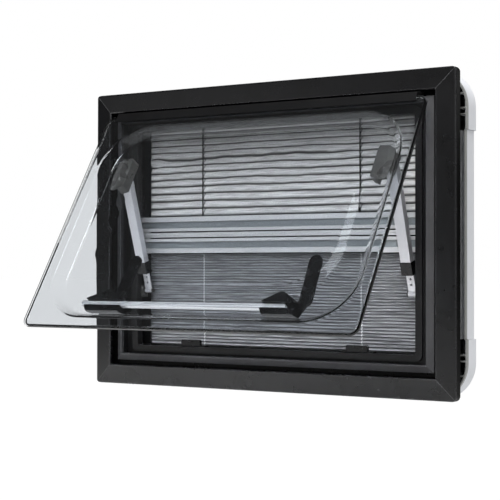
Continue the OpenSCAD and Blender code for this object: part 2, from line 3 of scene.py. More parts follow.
import logging
import math
from dataclasses import dataclass
from enum import Enum

import bpy
import numpy as np
from mathutils import Matrix, Vector


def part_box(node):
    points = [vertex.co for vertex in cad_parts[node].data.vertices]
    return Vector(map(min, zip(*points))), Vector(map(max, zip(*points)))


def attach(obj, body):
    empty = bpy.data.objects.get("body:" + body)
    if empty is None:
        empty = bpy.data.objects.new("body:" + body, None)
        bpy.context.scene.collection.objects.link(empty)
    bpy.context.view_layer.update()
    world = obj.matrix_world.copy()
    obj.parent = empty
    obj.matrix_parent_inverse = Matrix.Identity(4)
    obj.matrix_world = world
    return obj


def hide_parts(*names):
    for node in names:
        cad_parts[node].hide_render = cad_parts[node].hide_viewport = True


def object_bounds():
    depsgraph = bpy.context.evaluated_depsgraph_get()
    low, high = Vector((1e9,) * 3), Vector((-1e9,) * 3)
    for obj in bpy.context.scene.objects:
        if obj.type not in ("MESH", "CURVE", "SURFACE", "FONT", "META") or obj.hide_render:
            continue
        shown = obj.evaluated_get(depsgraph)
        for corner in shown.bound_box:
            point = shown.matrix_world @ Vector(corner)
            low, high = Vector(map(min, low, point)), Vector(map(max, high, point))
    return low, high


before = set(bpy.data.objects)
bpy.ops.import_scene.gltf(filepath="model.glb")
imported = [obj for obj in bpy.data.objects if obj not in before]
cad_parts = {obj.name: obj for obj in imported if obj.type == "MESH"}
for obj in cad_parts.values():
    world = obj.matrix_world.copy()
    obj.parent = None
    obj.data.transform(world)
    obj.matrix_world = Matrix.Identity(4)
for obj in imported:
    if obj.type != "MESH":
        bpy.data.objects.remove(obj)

LOG = logging.getLogger("caravan_window")
CAD_BOX = [list(corner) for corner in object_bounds()]
MM = 0.001

# Short names for the two types that every finish handles
Tree = bpy.types.NodeTree
Socket = bpy.types.NodeSocket

# Places that several pieces share, in millimetres of the row frame
MIDDLE_Z = 258.5
HINGE_Y = -23.0
HINGE_UP = 224.0
OPEN_ANGLE = math.radians(31.9)
CORD_X = 163.0

# The ends of the names of pieces that repeat
SIDES = ("left", "right")
ROWS = ("top", "bottom")


class Body(Enum):
    """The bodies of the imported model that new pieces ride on."""

    FRAME = "frame"
    FLAP = "flap"


class Slot(Enum):
    """Names of four of the record's material slots."""

    RUBBER = "rubber"
    ACRYLIC = "acrylic"
    CLOTH = "pleated_cloth"
    NET = "screen_mesh"


def linear(code: str) -> tuple[float, float, float, float]:
    """Turns an sRGB hex colour into linear light.

    Args:
        code: six hex digits, such as "9e9ea2".

    Returns:
        Red, green, blue and an alpha of one.
    """
    parts = np.array([int(code[i:i + 2], 16) for i in (0, 2, 4)]) / 255.0
    low = parts / 12.92
    high = ((parts + 0.055) / 1.055) ** 2.4
    return (*np.where(parts <= 0.04045, low, high).tolist(), 1.0)


def on_flap(points: np.ndarray) -> np.ndarray:
    """Turns points drawn on the shut flap about the hinge axis, to the open flap.

    Args:
        points: millimetres from the hinge axis, as across, behind and above.

    Returns:
        The same points in metres of the row frame.
    """
    c, s = math.cos(OPEN_ANGLE), math.sin(OPEN_ANGLE)
    x, y, z = points[..., 0], points[..., 1], points[..., 2]
    turned = np.stack([x, HINGE_Y + y * c + z * s, MIDDLE_Z + HINGE_UP - y * s + z * c], axis=-1)
    return turned * MM


def in_window(points: np.ndarray) -> np.ndarray:
    """Moves points in millimetres from the window's middle to metres of the row frame."""
    return (points + np.array([0.0, 0.0, MIDDLE_Z])) * MM


def size_of(name: str) -> tuple[np.ndarray, np.ndarray]:
    """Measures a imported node.

    Args:
        name: the node's name.

    Returns:
        Its lowest and highest corner, in millimetres from the window's middle.
    """
    low, high = (np.array(corner) / MM - [0.0, 0.0, MIDDLE_Z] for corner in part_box(name))
    return low, high


def surface(name: str, grid: np.ndarray, around: bool = False, pole: bool = False) -> bpy.types.Object:
    """Makes a mesh from a grid of points, as whole arrays.

    Args:
        name: the piece's name.
        grid: rows by columns by three, in metres.
        around: True if each row closes on itself.
        pole: True if the last row is one point, which the faces meet in.

    Returns:
        The new object, linked to the scene, smooth shaded.
    """
    rows, cols = grid.shape[:2]
    index = np.arange(rows * cols).reshape(rows, cols)
    if around:
        index = np.concatenate([index, index[:, :1]], axis=1)
    faces = np.stack([index[:-1, :-1], index[:-1, 1:], index[1:, 1:], index[1:, :-1]], axis=-1)
    points = grid.reshape(-1, 3)
    quads = faces.reshape(-1, 4)
    lists = quads.tolist()
    if pole:
        keep = (rows - 1) * cols
        points = points[:keep + 1]
        body = quads[(quads < keep).all(axis=1)]
        last = index[-2]
        fans = np.stack([last[:-1], last[1:], np.full(len(last) - 1, keep)], axis=-1)
        lists = body.tolist() + fans.tolist()
    mesh = bpy.data.meshes.new(name)
    mesh.from_pydata(points.tolist(), [], lists)
    mesh.polygons.foreach_set("use_smooth", np.ones(len(mesh.polygons), dtype=bool))
    mesh.update()
    piece = bpy.data.objects.new(name, mesh)
    bpy.context.scene.collection.objects.link(piece)
    return piece


def thicken(piece: bpy.types.Object, name: str, thickness_mm: float, offset: float = 0.0) -> None:
    """Gives a sheet its thickness.

    Args:
        piece: the sheet, as a surface.
        name: what the thickness is, such as "sheet".
        thickness_mm: the full thickness, in millimetres.
        offset: 0 puts the surface in the middle, and -1 puts the thickness behind its faces.
    """
    wall = piece.modifiers.new(name, "SOLIDIFY")
    wall.thickness = thickness_mm * MM
    wall.offset = offset


def round_outline(width: float, height: float, radius: float, count: int) -> np.ndarray:
    """A rectangle with round corners: each corner is a quarter circle about its centre.

    Args:
        width: full width in millimetres.
        height: full height in millimetres.
        radius: corner radius in millimetres.
        count: points on each corner and on each side.

    Returns:
        Points across and up, counter-clockwise, as a closed outline.
    """
    turn = np.linspace(0.0, math.pi / 2, count)
    centres = np.array([[1, 1], [-1, 1], [-1, -1], [1, -1]]) * [width / 2 - radius, height / 2 - radius]
    turns = [turn + quarter * math.pi / 2 for quarter in range(4)]
    arcs = [c + radius * np.stack([np.cos(t), np.sin(t)], axis=-1) for c, t in zip(centres, turns)]
    share = np.linspace(0.0, 1.0, count + 1)[1:-1, None]
    runs = [a[-1] + (b[0] - a[-1]) * share for a, b in zip(arcs, arcs[1:] + arcs[:1])]
    return np.concatenate([part for pair in zip(arcs, runs) for part in pair])


def node(tree: Tree, kind: str, links: dict | None = None, **settings: object) -> bpy.types.Node:
    """Adds a shader node with its settings, values and links.

    Args:
        tree: the node tree that gets the node.
        kind: the node's type name after "ShaderNode".
        links: for each input's name or number, a value or another node's output socket.
        settings: properties of the node itself.

    Returns:
        The new node.
    """
    made = tree.nodes.new("ShaderNode" + kind)
    for key, value in settings.items():
        setattr(made, key, value)
    for key, value in (links or {}).items():
        if isinstance(value, Socket):
            tree.links.new(value, made.inputs[key])
        else:
            made.inputs[key].default_value = value
    return made


@dataclass(frozen=True)
class Finish:
    """A surface finish: a name, its two sRGB shades and its roughness."""

    name: str
    shade: str
    second: str
    rough: float
    blend_mm: float = 0.4
    near_gloss: float = 0.5
    deep_gloss: float = 0.05

    def start(self) -> tuple[bpy.types.Material, Tree, Socket]:
        """Makes the empty material with its object coordinates.

        Returns:
            The material, its node tree and the coordinate socket.
        """
        material = bpy.data.materials.new(self.name)
        material.use_nodes = True
        tree = material.node_tree
        tree.nodes.clear()
        coords = node(tree, "TexCoord").outputs["Object"]
        return material, tree, coords

    def close(self, tree: Tree, shader: Socket) -> None:
        """Links the finished shader to the material's output."""
        node(tree, "OutputMaterial", {"Surface": shader})

    def paint_depth_shade(self, tree: Tree, coords: Socket, colour: Socket, depth_mm: float,
               shade: str) -> tuple[Socket, Socket]:
        """Paints shade by depth: changes the colour of what lies deeper than a depth behind the wall
        face.

        Args:
            tree: the material's node tree.
            coords: the object coordinates.
            colour: the colour in front of that depth.
            depth_mm: the depth, positive towards the room.
            shade: sRGB hex of the part behind it.

        Returns:
            The mixed colour, and a gloss level that nearly fades out behind the depth.
        """
        place = node(tree, "SeparateXYZ", {0: coords})
        behind = node(tree, "MapRange", {"Value": place.outputs["Y"],
                                         "From Min": (depth_mm - self.blend_mm) * MM,
                                         "From Max": (depth_mm + self.blend_mm) * MM})
        mix = node(tree, "Mix", {0: behind.outputs["Result"], 6: colour, 7: linear(shade)},
                   data_type="RGBA")
        gloss = node(tree, "MapRange", {"Value": behind.outputs["Result"], "To Min": self.near_gloss,
                                        "To Max": self.deep_gloss})
        return mix.outputs[2], gloss.outputs["Result"]


@dataclass(frozen=True)
class Moulded(Finish):
    """Moulded or painted plastic: a fine grain that spreads the highlight, and soft arrises."""

    ior: float = 1.5
    patch_mm: float = 55.0
    patch_low: float = 0.35
    patch_high: float = 0.65
    cloud_mm: float = 35.0
    grain_mm: float = 0.9
    grain_depth_mm: float = 0.08
    bump: float = 0.12
    arris_mm: float = 0.8
    spread: float = 0.08
    arris_highlight: str | None = None
    arris_from: float = 0.99
    arris_to: float = 0.85
    gloss: float = 0.5
    lip_mm: float | None = None
    lip_painted_shade: str = "9c9d9b"
    deep_mm: float | None = None
    deep_shade: str = "030303"

    def mottled(self, tree: Tree, coords: Socket) -> Socket:
        """Mixes the two shades in soft patches, by a noise.

        Args:
            tree: the material's node tree.
            coords: the object coordinates.

        Returns:
            The mixed colour.
        """
        per_metre = 1.0 / (self.patch_mm * MM)
        noise = node(tree, "TexNoise", {"Vector": coords, "Scale": per_metre, "Detail": 3.0})
        share = node(tree, "MapRange", {"Value": noise.outputs["Fac"], "From Min": self.patch_low,
                                        "From Max": self.patch_high})
        mix = node(tree, "Mix", {0: share.outputs["Result"], 6: linear(self.shade),
                                 7: linear(self.second)}, data_type="RGBA")
        return mix.outputs[2]

    def paint_highlights(self, tree: Tree, colour: Socket, arris: Socket) -> Socket:
        """Paints highlights on the arrises, where the softened normal bends away from the face's own.

        Args:
            tree: the material's node tree.
            colour: the colour of the faces.
            arris: the softened normal.

        Returns:
            The colour with painted highlights on its arrises.
        """
        flat = node(tree, "NewGeometry").outputs["Normal"]
        bend = node(tree, "VectorMath", {0: flat, 1: arris}, operation="DOT_PRODUCT")
        share = node(tree, "MapRange", {"Value": bend.outputs["Value"], "From Min": self.arris_from,
                                        "From Max": self.arris_to})
        mix = node(tree, "Mix", {0: share.outputs["Result"], 6: colour, 7: linear(self.arris_highlight)},
                   data_type="RGBA")
        return mix.outputs[2]

    def build(self) -> bpy.types.Material:
        """Builds the node tree of the moulded finish.

        Returns:
            The material.
        """
        material, tree, coords = self.start()
        colour = self.mottled(tree, coords)
        arris = node(tree, "Bevel", {"Radius": self.arris_mm * MM}, samples=4).outputs["Normal"]
        gloss = self.gloss
        # Painted highlight: the arrises are lightened in colour
        if self.arris_highlight:
            colour = self.paint_highlights(tree, colour, arris)
        # Painted shade by depth: a recess painted darker than the face, or the parts in front of a depth
        # darker than those behind
        if self.lip_mm is not None:
            colour, _ = self.paint_depth_shade(tree, coords, colour, self.lip_mm, self.lip_painted_shade)
        if self.deep_mm is not None:
            colour, gloss = self.paint_depth_shade(tree, coords, colour, self.deep_mm, self.deep_shade)
        grain = node(tree, "TexNoise", {"Vector": coords, "Detail": 2.0,
                                        "Scale": 1.0 / (self.grain_mm * MM)})
        cloud = node(tree, "TexNoise", {"Vector": coords, "Detail": 4.0,
                                        "Scale": 1.0 / (self.cloud_mm * MM)})
        rough = node(tree, "MapRange", {"Value": cloud.outputs["Fac"], "From Min": 0.3, "From Max": 0.7,
                                        "To Min": self.rough - self.spread,
                                        "To Max": self.rough + self.spread})
        bump = node(tree, "Bump", {"Height": grain.outputs["Fac"], "Strength": self.bump,
                                   "Distance": self.grain_depth_mm * MM, "Normal": arris})
        shader = node(tree, "BsdfPrincipled", {"Base Color": colour, "IOR": self.ior,
                                               "Roughness": rough.outputs["Result"],
                                               "Specular IOR Level": gloss,
                                               "Normal": bump.outputs["Normal"]})
        self.close(tree, shader.outputs["BSDF"])
        return material


@dataclass(frozen=True)
class Anodised(Finish):
    """Drawn and anodised aluminium: fine lines along the length, a satin gloss."""

    along: tuple[float, float, float] = (0.004, 1.0, 1.0)
    line_mm: float = 1.4
    line_depth_mm: float = 0.02
    bump: float = 0.04
    arris_mm: float = 0.6
    spread: float = 0.06
    metal: float = 0.85
    deep_mm: float | None = None
    deep_shade: str = "55595b"

    def build(self) -> bpy.types.Material:
        """Builds the node tree of the drawn metal.

        Returns:
            The material.
        """
        material, tree, coords = self.start()
        drawn = node(tree, "Mapping", {"Vector": coords, "Scale": self.along}).outputs["Vector"]
        per_metre = 1.0 / (self.line_mm * MM)
        lines = node(tree, "TexNoise", {"Vector": drawn, "Scale": per_metre, "Detail": 2.0})
        mix = node(tree, "Mix", {0: lines.outputs["Fac"], 6: linear(self.shade),
                                 7: linear(self.second)}, data_type="RGBA")
        colour = mix.outputs[2]
        # Painted shade: what lies behind this depth, in the grooves, is painted darker
        if self.deep_mm is not None:
            colour, _ = self.paint_depth_shade(tree, coords, colour, self.deep_mm, self.deep_shade)
        rough = node(tree, "MapRange", {"Value": lines.outputs["Fac"], "From Min": 0.3, "From Max": 0.7,
                                        "To Min": self.rough - self.spread,
                                        "To Max": self.rough + self.spread})
        arris = node(tree, "Bevel", {"Radius": self.arris_mm * MM}, samples=8)
        bump = node(tree, "Bump", {"Height": lines.outputs["Fac"], "Strength": self.bump,
                                   "Distance": self.line_depth_mm * MM,
                                   "Normal": arris.outputs["Normal"]})
        shader = node(tree, "BsdfPrincipled", {"Base Color": colour, "Metallic": self.metal,
                                               "Roughness": rough.outputs["Result"],
                                               "Normal": bump.outputs["Normal"]})
        self.close(tree, shader.outputs["BSDF"])
        return material


@dataclass(frozen=True)
class CastAcrylic(Finish):
    """Cast acrylic sheet: clear with a faint cool tint, its sawn edges painted dark as shade."""

    ior: float = 1.49
    shadow: str = "d8d9da"
    edge_facing: float = 0.3
    edge_rough: float = 0.35

    def build(self) -> bpy.types.Material:
        """Builds the node tree of the clear sheet.

        A face is a sawn edge where its normal and the sheet's are nearly at right angles. Light from the
        lamps passes straight through the sheet, a little dimmed, so that it casts only a faint shadow.

        Returns:
            The material.
        """
        material, tree, _ = self.start()
        sheet_normal = (0.0, -math.cos(OPEN_ANGLE), math.sin(OPEN_ANGLE))
        normal = node(tree, "TexCoord").outputs["Normal"]
        facing = node(tree, "VectorMath", {0: normal, 1: sheet_normal}, operation="DOT_PRODUCT")
        flat = node(tree, "Math", {0: facing.outputs["Value"]}, operation="ABSOLUTE")
        edge = node(tree, "Math", {0: flat.outputs[0], 1: self.edge_facing}, operation="LESS_THAN")
        glass = node(tree, "BsdfPrincipled", {"Base Color": linear(self.shade), "IOR": self.ior,
                                              "Roughness": self.rough, "Transmission Weight": 1.0})
        clear = node(tree, "BsdfTransparent", {"Color": linear(self.shadow)})
        path = node(tree, "LightPath")
        lamps = node(tree, "MixShader", {0: path.outputs["Is Shadow Ray"], 1: glass.outputs["BSDF"],
                                         2: clear.outputs["BSDF"]})
        # Painted shade: the edge faces get an opaque near-black colour
        painted_edge_shade = node(tree, "BsdfPrincipled", {"Base Color": linear(self.second),
                                            "Roughness": self.edge_rough})
        both = node(tree, "MixShader", {0: edge.outputs[0], 1: lamps.outputs[0], 2: painted_edge_shade.outputs["BSDF"]})
        self.close(tree, both.outputs[0])
        return material


@dataclass(frozen=True)
class Cloth(Finish):
    """Spun polyester, pleated: crinkled streaks along the folds, painted shade in the creases, and two
    draw cords.
    """

    along: tuple[float, float, float] = (0.045, 1.0, 1.0)
    streak_mm: float = 2.4
    streak_low: float = 0.42
    streak_high: float = 0.62
    streak_depth_mm: float = 0.4
    bump: float = 0.3
    sheen: float = 0.2
    crease_shadow: str = "3c3d40"
    crease_from: float = 0.78
    crease_blend: float = 0.05
    crease_depth: float = 0.92
    cord: str = "3a3b3e"
    cord_half_mm: float = 1.0
    open_share: float = 0.0

    def paint_crease_shade(self, tree: Tree, colour: Socket) -> Socket:
        """Paints shade on the last part of each fold, its underside, which the attribute "fold" counts
        down the cloth.

        Args:
            tree: the material's node tree.
            colour: the cloth's own colour.

        Returns:
            The colour with painted shade in its creases.
        """
        fold = node(tree, "Attribute", attribute_name="fold")
        part = node(tree, "Math", {0: fold.outputs["Fac"]}, operation="FRACT")
        under = node(tree, "MapRange", {"Value": part.outputs[0],
                                        "From Min": self.crease_from - self.crease_blend,
                                        "From Max": self.crease_from + self.crease_blend,
                                        "To Max": self.crease_depth})
        mix = node(tree, "Mix", {0: under.outputs["Result"], 6: colour, 7: linear(self.crease_shadow)},
                   data_type="RGBA")
        return mix.outputs[2]

    def corded(self, tree: Tree, coords: Socket, colour: Socket) -> Socket:
        """Draws a narrow upright line at each draw cord's place.

        Args:
            tree: the material's node tree.
            coords: the object coordinates.
            colour: the cloth's colour with its creases.

        Returns:
            The colour with the two lines.
        """
        across = node(tree, "SeparateXYZ", {0: coords})
        side = node(tree, "Math", {0: across.outputs["X"]}, operation="ABSOLUTE")
        cord = node(tree, "Math", {0: side.outputs[0], 1: CORD_X * MM, 2: self.cord_half_mm * MM},
                    operation="COMPARE")
        mix = node(tree, "Mix", {0: cord.outputs[0], 6: colour, 7: linear(self.cord)}, data_type="RGBA")
        return mix.outputs[2]

    def build(self) -> bpy.types.Material:
        """Builds the node tree of the cloth.

        Returns:
            The material.
        """
        material, tree, coords = self.start()
        along = node(tree, "Mapping", {"Vector": coords, "Scale": self.along}).outputs["Vector"]
        per_metre = 1.0 / (self.streak_mm * MM)
        streaks = node(tree, "TexNoise", {"Vector": along, "Scale": per_metre, "Detail": 3.0,
                                          "Distortion": 0.4})
        share = node(tree, "MapRange", {"Value": streaks.outputs["Fac"], "From Min": self.streak_low,
                                        "From Max": self.streak_high})
        cloth = node(tree, "Mix", {0: share.outputs["Result"], 6: linear(self.shade),
                                   7: linear(self.second)}, data_type="RGBA")
        colour = self.corded(tree, coords, self.paint_crease_shade(tree, cloth.outputs[2]))
        bump = node(tree, "Bump", {"Height": streaks.outputs["Fac"], "Strength": self.bump,
                                   "Distance": self.streak_depth_mm * MM})
        shader = node(tree, "BsdfPrincipled", {"Base Color": colour, "Roughness": self.rough,
                                               "Sheen Weight": self.sheen,
                                               "Normal": bump.outputs["Normal"]})
        out = shader.outputs["BSDF"]
        if self.open_share > 0:
            holes = node(tree, "BsdfTransparent").outputs["BSDF"]
            out = node(tree, "MixShader", {0: self.open_share, 1: out, 2: holes}).outputs[0]
        self.close(tree, out)
        return material


class Finishes:
    """The finishes of this window, built once and shared by its pieces."""

    def __init__(self) -> None:
        """Builds every material."""
        # Satin-painted polyurethane: deep black with broad soft highlights, painted highlights on its
        # thin arrises, and painted shade that makes its groove and its return towards the wall dead
        # black
        self.frame_black = Moulded("satin_polyurethane_frame", "050506", "08080a", 0.28, bump=0.03,
                                   gloss=0.34, spread=0.02, arris_highlight="77777a", deep_mm=-12.0).build()
        # Matt extruded PVC: the hinge's strips hardly mirror anything
        self.hinge_black = Moulded("matt_pvc_hinge", "0a0a0b", "0e0e0f", 0.6, gloss=0.15).build()
        # Extruded PVC of the casing: dark grey-black, with painted highlights on the arrises that show
        # its grooves
        self.casing_black = Moulded("extruded_pvc_casing", "09090a", "0d0d0e", 0.42, gloss=0.3,
                                    arris_highlight="3a3a3c").build()
        # Injection-moulded nylon from a polished mould: small sharp highlights on latches and collars
        self.latch_black = Moulded("gloss_black_nylon", "050506", "08080a", 0.26, bump=0.02,
                                   gloss=0.4).build()
        # Glass-filled nylon of the stays' brackets and feet: dark grey with a strong soft gloss
        self.stay_grey = Moulded("dark_grey_nylon", "3a3937", "444341", 0.3, bump=0.03,
                                 gloss=0.6).build()
        # Extruded rubber lip: dull grey, lighter than the frame, with painted bright highlights on its
        # thin arrises
        self.seal_rubber = Moulded("grey_rubber_seal", "323234", "3a3a3c", 0.62, gloss=0.3, arris_mm=0.3,
                                   arris_highlight="6c6c6e").build()
        # Moulded ABS of the inner frame: pale grey, with painted shade that darkens its lip, and darkens
        # more the part inside the wall
        self.pale = Moulded("pale_grey_abs", "5a5b5f", "56575b", 0.4, lip_mm=34.0, deep_mm=40.5,
                            deep_shade="eceef2").build()
        # Satin anodised tube of the pull bar: bright, with fine drawn lines along it
        self.metal = Anodised("satin_anodised_aluminium", "e0e0e2", "e8e8ea", 0.28, metal=0.6).build()
        # Satin anodised channels of the stays: greyer than the bar, with wide soft arrises
        self.stay_metal = Anodised("satin_stay_aluminium", "c4c4c8", "d0d0d4", 0.34, metal=0.6,
                                   arris_mm=1.2, line_mm=12.0, along=(1.0, 1.0, 0.02)).build()
        # Grey anodised rails of the two cloths: nearly matt, with painted shade in their grooves
        self.rail_metal = Anodised("grey_anodised_rail", "b9b9ba", "c3c3c4", 0.4, metal=0.2,
                                   deep_mm=37.0, deep_shade="7e8386").build()
        # Cast acrylic: clear and polished, with a faint cool tint and sawn edges painted dark as shade
        self.acrylic = CastAcrylic("cast_acrylic", "f3f5f7", "060607", 0.0).build()
        # Pleated spun polyester: light grey, crinkled along its folds, with painted shade that makes its
        # creases nearly black. The real fibres are too fine to show, so the streaks are drawn coarser
        self.blind_cloth = Cloth("pleated_polyester_blind", "cac9c7", "a19f9e", 0.75, crease_shadow="0c0c0d",
                                 crease_from=0.82, streak_mm=1.8).build()
        # Pleated polyester net: darker and a little open, with pale cords. Its mesh is too fine to show
        # Painted shade darkens the net's creases too
        self.net = Cloth("polyester_fly_screen", "8f9094", "5a5b5f", 0.8, crease_shadow="55565a",
                         crease_from=0.7, streak_mm=2.2, cord="c4c5c8", open_share=0.12).build()
        # Woven pile and braided cord in black: no gloss at all
        self.pile = Moulded("black_polypropylene_pile", "030303", "060606", 0.7, gloss=0.1).build()


def dress(name: str, finish: bpy.types.Material) -> None:
    """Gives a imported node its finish.

    Args:
        name: the node's name.
        finish: the material that it gets.
    """
    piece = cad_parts[name]
    piece.data.materials.clear()
    piece.data.materials.append(finish)
    LOG.info("dressed %s with %s", name, finish.name)


def ready(piece: bpy.types.Object, body: Body, finish: bpy.types.Material) -> None:
    """Finishes a new piece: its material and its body.

    Args:
        piece: the new piece.
        body: the body that it rides on.
        finish: the material that it gets.
    """
    piece.data.materials.append(finish)
    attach(piece, body.value)
    LOG.info("made %s, %d faces", piece.name, len(piece.data.polygons))


@dataclass
class OuterFrame:
    """The black frame seen outside, with its casing, seal, trim, hinge rail and catches."""

    finishes: Finishes

    def dress(self) -> None:
        """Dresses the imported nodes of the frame."""
        f = self.finishes
        for edge in ROWS + SIDES:
            dress("face_" + edge, f.frame_black)
            dress("casing_" + edge, f.casing_black)
        dress("weather_seal", f.seal_rubber)
        dress("opening_trim", f.casing_black)
        dress("hinge_rail", f.hinge_black)
        for side in SIDES:
            dress("catch_" + side, f.latch_black)
            dress("stay_foot_" + side, f.stay_grey)


@dataclass
class RoomSide:
    """The pale inner frame with the blind, the fly screen and their rails, in millimetres.

    Each of the waves holds its size, and how fast it turns across and down the cloth.
    """

    finishes: Finishes
    blind_pitch: float = 12.4
    screen_pitch: float = 5.2
    blind_sway: float = 0.9
    screen_sway: float = 0.4
    blind_share: float = 1.0
    screen_share: float = 0.45
    steps: int = 10
    columns: int = 121
    underside: float = 0.3
    tightness: float = 0.88
    cloth_thickness: float = 0.3
    waves: tuple[tuple[float, ...], ...] = ((1.0, 9.0, 5.0), (0.6, 23.0, 17.0), (0.35, 71.0, 43.0))
    seal_up: float = 5.3
    seal_height: float = 2.0
    seal_thickness: float = 0.8
    seal_inset: float = 22.0
    seal_behind: float = 0.2
    foot_down: float = 0.6
    foot_behind: float = 3.0
    cord_radius: float = 0.8
    cord_gap: float = 0.1

    def pleats(self, name: str, stands_for: str, pitch: float, sway: float,
               share: float) -> bpy.types.Object:
        """Folds a cloth into the room of a packed one, hung from its top.

        With p the share of a fold that has passed, the cloth comes forward in a straight line while p
        runs from 0 to 1 - underside, and goes back over the rest. The folds open towards the bottom:
        where the share d of the folds has passed, d * (tightness + (1 - tightness) * d) of the height
        has. Each fold wanders up and down by a sum of three sines of x and d.

        Args:
            name: the piece's name.
            stands_for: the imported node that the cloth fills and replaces.
            pitch: mean height of one fold, in millimetres.
            sway: how far a fold wanders, in millimetres.
            share: depth of a fold, as a share of the room it has.

        Returns:
            The folded cloth.
        """
        low, high = size_of(stands_for)
        width, _, height = high - low
        depth = share * ((high[1] - low[1]) / 2 - self.cloth_thickness)
        folds = round(height / pitch)
        down = np.linspace(0.0, 1.0, folds * self.steps + 1)[:, None]
        across = np.linspace(-0.5, 0.5, self.columns)[None, :]
        passed = folds * down + 0.0 * across
        wave = np.interp(passed % 1.0, [0.0, 1.0 - self.underside, 1.0], [1.0, -1.0, 1.0])
        wander = sum(size * np.sin(along * across + drop * down) for size, along, drop in self.waves)
        x = low[0] + (across + 0.5) * width + 0.0 * down
        y = (low[1] + high[1]) / 2 + depth * wave
        z = high[2] - height * down * (self.tightness + (1.0 - self.tightness) * down)
        z = z + sway * np.sin(math.pi * down) * wander
        piece = surface(name, in_window(np.stack([x, y, z], axis=-1)))
        count = piece.data.attributes.new("fold", "FLOAT", "POINT")
        count.data.foreach_set("value", passed.ravel())
        thicken(piece, "cloth", self.cloth_thickness)
        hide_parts(stands_for)
        return piece

    def strip(self, name: str, z: float, y: float) -> None:
        """Lays a flat pile seal along the rails.

        Args:
            name: the seal's name.
            z: height of its middle, in millimetres from the window's middle.
            y: its place behind the wall face, in millimetres.
        """
        low, high = size_of("blind_rail")
        across = np.array([[low[0] + self.seal_inset, high[0] - self.seal_inset]])
        up = z + np.array([[-self.seal_height / 2], [self.seal_height / 2]])
        grid = np.stack([across + 0.0 * up, y + 0.0 * (across + up), up + 0.0 * across], axis=-1)
        piece = surface(name, in_window(grid))
        thicken(piece, "pile", self.seal_thickness)
        ready(piece, Body.FRAME, self.finishes.pile)

    def draw_cord(self, name: str, x: float) -> None:
        """Runs a draw cord down the face of the blind, as a round tube from the cassette to the rail.

        Args:
            name: the cord's name.
            x: its place across, in millimetres from the window's middle.
        """
        low, high = size_of("pleated_blind")
        turn = np.linspace(0.0, 2 * math.pi, 9)[None, :-1]
        z = np.linspace(high[2], low[2], 12)[:, None]
        y = low[1] - self.cord_radius - self.cord_gap
        ring_x = x + self.cord_radius * np.cos(turn)
        ring_y = y + self.cord_radius * np.sin(turn)
        grid = np.stack([ring_x + 0.0 * z, ring_y + 0.0 * z, z + 0.0 * turn], axis=-1)
        piece = surface(name, in_window(grid), around=True)
        thicken(piece, "braid", 0.4 * self.cord_radius, offset=-1.0)
        ready(piece, Body.FRAME, self.finishes.pile)

    def build(self) -> None:
        """Makes the pile seals of the rails, the draw cords and the two pleated cloths."""
        f = self.finishes
        upper, lower = size_of("blind_rail"), size_of("screen_rail")
        front = upper[0][1]
        self.strip("pile_seal_upper", upper[0][2] + self.seal_up, front + self.seal_behind)
        self.strip("pile_seal_lower", lower[1][2] - self.seal_up, front + self.seal_behind)
        self.strip("pile_seal_foot", lower[0][2] - self.foot_down, front + self.foot_behind)
        for side, x in zip(SIDES, (-CORD_X, CORD_X)):
            self.draw_cord("draw_cord_" + side, x)
        blind = self.pleats("blind_pleats", "pleated_blind", self.blind_pitch,
                            self.blind_sway, self.blind_share)
        ready(blind, Body.FRAME, f.blind_cloth)
        screen = self.pleats("screen_pleats", "fly_screen", self.screen_pitch,
                             self.screen_sway, self.screen_share)
        ready(screen, Body.FRAME, f.net)

    def dress(self) -> None:
        """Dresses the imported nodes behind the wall."""
        f = self.finishes
        for edge in ROWS + SIDES:
            dress("inner_profile_" + edge, f.pale)
        for row in ROWS:
            for side in SIDES:
                dress(f"inner_corner_{row}_{side}", f.pale)
        for side in SIDES:
            dress("guide_" + side, f.casing_black)
        for cloth in ("blind", "screen"):
            dress(cloth + "_cassette", f.casing_black)
            dress(cloth + "_rail", f.rail_metal)


